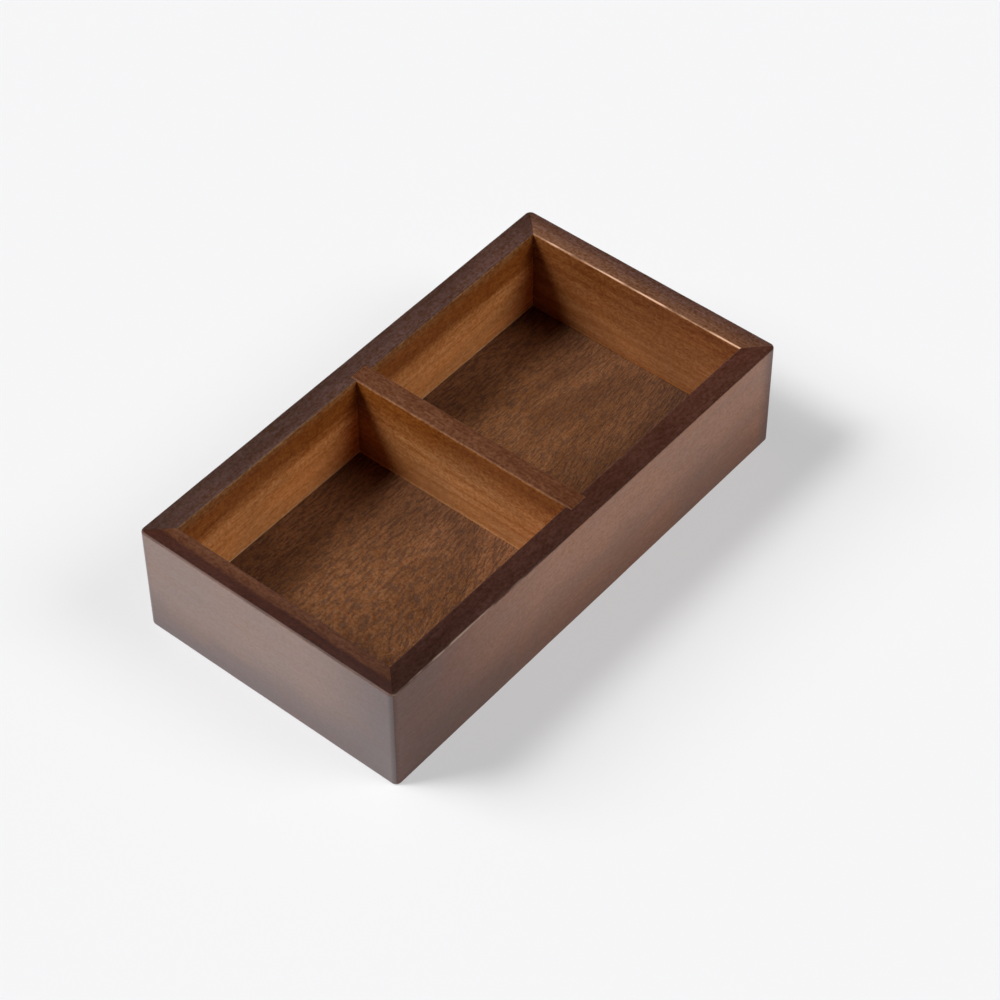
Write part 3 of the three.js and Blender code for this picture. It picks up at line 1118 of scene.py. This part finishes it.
@dataclass
class Studio:
    """A pale table, soft lamps, a dim room and the camera.

    `table_colour` is the table as it throws light on the tray. The camera sees `table_seen`, with
    a glow. The room dims between the two heights in `horizon`, each the sine of an angle. Lens
    and sensor are in millimetres. The camera stands at `distance` from `target`, with its azimuth
    from the front, elevation and roll in degrees.
    """

    lamps: tuple[Lamp, ...]
    table_size: float = 12.0
    table_colour: str = "dededf"
    table_seen: str = "bfbfc0"
    table_glow: float = 0.386
    glow_colour: Colour = (1.0, 1.0, 1.012, 1.0)
    room_level: float = 0.02
    horizon_level: float = 0.9
    horizon: Pair = (0.04, 0.26)
    lens: float = 110.2
    sensor: float = 36.0
    target: Point = (0.80 * MM, -15.26 * MM, 25.0 * MM)
    distance: float = 1.1327
    azimuth: float = -50.116
    elevation: float = 47.431
    roll: float = -0.328

    def table(self) -> None:
        """Adds the table, whose back doesn't hide the underside of the tray.

        The camera and reflections see it paler than the lamps make it, with the tray's shadow.
        """
        corners = np.array([[-1, -1, 0], [1, -1, 0], [1, 1, 0], [-1, 1, 0]]) * self.table_size / 2
        mesh = bpy.data.meshes.new("table")
        mesh.from_pydata(corners, [], [[0, 1, 2, 3]])
        table = bpy.data.objects.new("table", mesh)
        bpy.context.scene.collection.objects.link(table)
        shade = NodeTree(bpy.data.materials.new("matt_white_table"))
        add = shade.add
        lit = add("BsdfDiffuse", {"Color": linear(self.table_colour)})
        seen = add("BsdfDiffuse", {"Color": linear(self.table_seen)})
        glow = add("Emission", {"Color": self.glow_colour, "Strength": self.table_glow})
        pale = add("AddShader", {0: seen, 1: glow})
        path = add("LightPath").node.outputs
        watched = add("Math", {0: path["Is Camera Ray"], 1: path["Is Glossy Ray"]}, operation="MAXIMUM")
        watched = add("Math", {0: watched, 1: path["Is Transmission Ray"]}, operation="MAXIMUM")
        top = add("MixShader", {0: watched, 1: lit, 2: pale})
        back = add("NewGeometry", out="Backfacing")
        both = add("MixShader", {0: back, 1: top, 2: add("BsdfTransparent")})
        add("OutputMaterial", {"Surface": both})
        mesh.materials.append(shade.owner)

    def room(self) -> None:
        """Sets the room: pale up to a little above the horizon, then dim."""
        shade = NodeTree(bpy.data.worlds.new("room"))
        add = shade.add
        height = add("SeparateXYZ", {0: add("TexCoord", out="Generated")}).node.outputs[2]
        low, high = self.horizon
        light = {0: height, 1: low, 2: high, 3: self.horizon_level, 4: self.room_level}
        light = add("MapRange", light, **SMOOTH)
        add("OutputWorld", {"Surface": add("Background", {"Strength": light})})
        bpy.context.scene.world = shade.owner

    def camera(self) -> None:
        """Adds the camera at the photograph's angle, for a square picture."""
        azimuth, elevation = math.radians(self.azimuth), math.radians(self.elevation)
        back = Vector((
            math.sin(azimuth) * math.cos(elevation),
            -math.cos(azimuth) * math.cos(elevation),
            math.sin(elevation),
        ))
        data = bpy.data.cameras.new("camera")
        data.lens, data.sensor_width = self.lens, self.sensor
        camera = bpy.data.objects.new("camera", data)
        camera.location = Vector(self.target) + back * self.distance
        level = (-back).to_track_quat("-Z", "Y")
        roll = Euler((0, 0, math.radians(self.roll))).to_quaternion()
        camera.rotation_euler = (level @ roll).to_euler()
        bpy.context.scene.collection.objects.link(camera)
        bpy.context.scene.camera = camera

    def build(self) -> None:
        """Sets up the studio."""
        bpy.context.scene.view_settings.view_transform = "Standard"
        self.camera()
        self.table()
        self.room()
        for lamp in self.lamps:
            lamp.build()
        LOG.info("studio: %d lamps", len(self.lamps))


STUDIO = Studio(
    lamps=(
        Lamp("key", (-0.54, 0.58, 1.0), level=0.37, softness=17),
        Lamp("key_surround", (-0.60, 0.95, 1.0), level=0.40, softness=35),
        Lamp("fill", (0.50, -0.95, 1.0), level=0.23, softness=32),
    )
)

# Each board's worn colour is partly a rubbed arris and partly a painted highlight
FINISHES = {
    "front_side": StainedHardwood(
        "walnut_stained_front_board", outer="9b6d54", outer_foot="7a492c", outer_edge="613f34",
        rim_outer="3e2015", rim_inner="3f2015", inner_high="854819", inner_low="a0642f",
        worn_glint="d8b8a6", worn_glint_share=0.6, worn_glint_edge=WornGlintEdge.OUTER, seed=1.3, foot_fade=36 * MM,
        worn_glint_from=-20 * MM, worn_glint_to=-75 * MM, fade_start=95 * MM, fade_end=10 * MM,
        rim_fall=-0.35, coat=0.2, gloss=0.3,
    ),
    "right_end": StainedHardwood(
        "walnut_stained_right_board", outer="6a4632", outer_foot="5a3d30", outer_edge="5a3d30",
        rim_outer="543830", rim_inner="6d452b", inner_high="864e22", inner_low="9a6336",
        worn_glint="f0be9c", worn_glint_share=1.0, worn_glint_edge=WornGlintEdge.INNER, seed=7.1,
        rim_blur=0.5, rim_edge=0.5, streaks=0.28, stain_blur=8 * MM, coat=0.4,
    ),
    "back_side": StainedHardwood(
        "walnut_stained_back_board", outer="5c3a2c", outer_foot="4e352c", outer_edge="4e352c",
        rim_outer="42291f", rim_inner="4e332a", inner_high="a05d23", inner_low="e69c5a",
        worn_glint="b08a68", worn_glint_share=0.25, worn_glint_edge=WornGlintEdge.INNER, seed=3.7,
        worn_glint_from=-5 * MM, worn_glint_to=15 * MM, haze_reach=6 * MM, foot="e7b281",
        rim_blur=0.4, rim_edge=0.45, rim_fall=0.1, coat=0.4,
    ),
    "left_end": StainedHardwood(
        "walnut_stained_left_board", outer="816153", outer_foot="573c38", outer_edge="563e3b",
        rim_outer="3a1505", rim_inner="562f18", inner_high="854819", inner_low="a0642f",
        worn_glint="a88472", worn_glint_share=0.3, worn_glint_edge=WornGlintEdge.OUTER, seed=5.9,
        rim_fall=0.22, fade_start=4 * MM, fade_end=45 * MM, coat=0.9, gloss=0.5,
    ),
    "divider": StainedHardwood(
        "lightly_stained_divider", outer="83490f", outer_foot="83490f", outer_edge="83490f",
        rim_outer="5e351c", rim_inner="5e351c", inner_high="864a14", inner_low="b37642",
        worn_glint="a8744c", worn_glint_share=0.3, worn_glint_edge=WornGlintEdge.INNER, seed=8.3,
        foot="c38a55", stain_line=38 * MM, stain_blur=8 * MM, rim_edge=0.25, streaks=0.3,
    ),
}
PANEL_FINISH = WalnutPanel(
    "open_pored_walnut_panel", light="80522f", dark="673e1e", pore="341806",
    climb=math.radians(14), seed=2.0,
)
TONGUE_FINISH = BareBeech("bare_beech_tongue", light="c9a277", fleck="a97c50")


def main() -> None:
    """Builds the studio and the tray, piece by piece."""
    logging.basicConfig(level=logging.INFO, format="%(name)s %(message)s")
    STUDIO.build()
    for side in Side:
        FrameBoard(side, FINISHES[side.node]).build()
    BottomPanel(PANEL_FINISH).build()
    Divider(FINISHES["divider"]).build()
    material = TONGUE_FINISH.material()
    for tongue in TONGUES:
        tongue.dress(material)


if __name__ == "__main__":
    main()
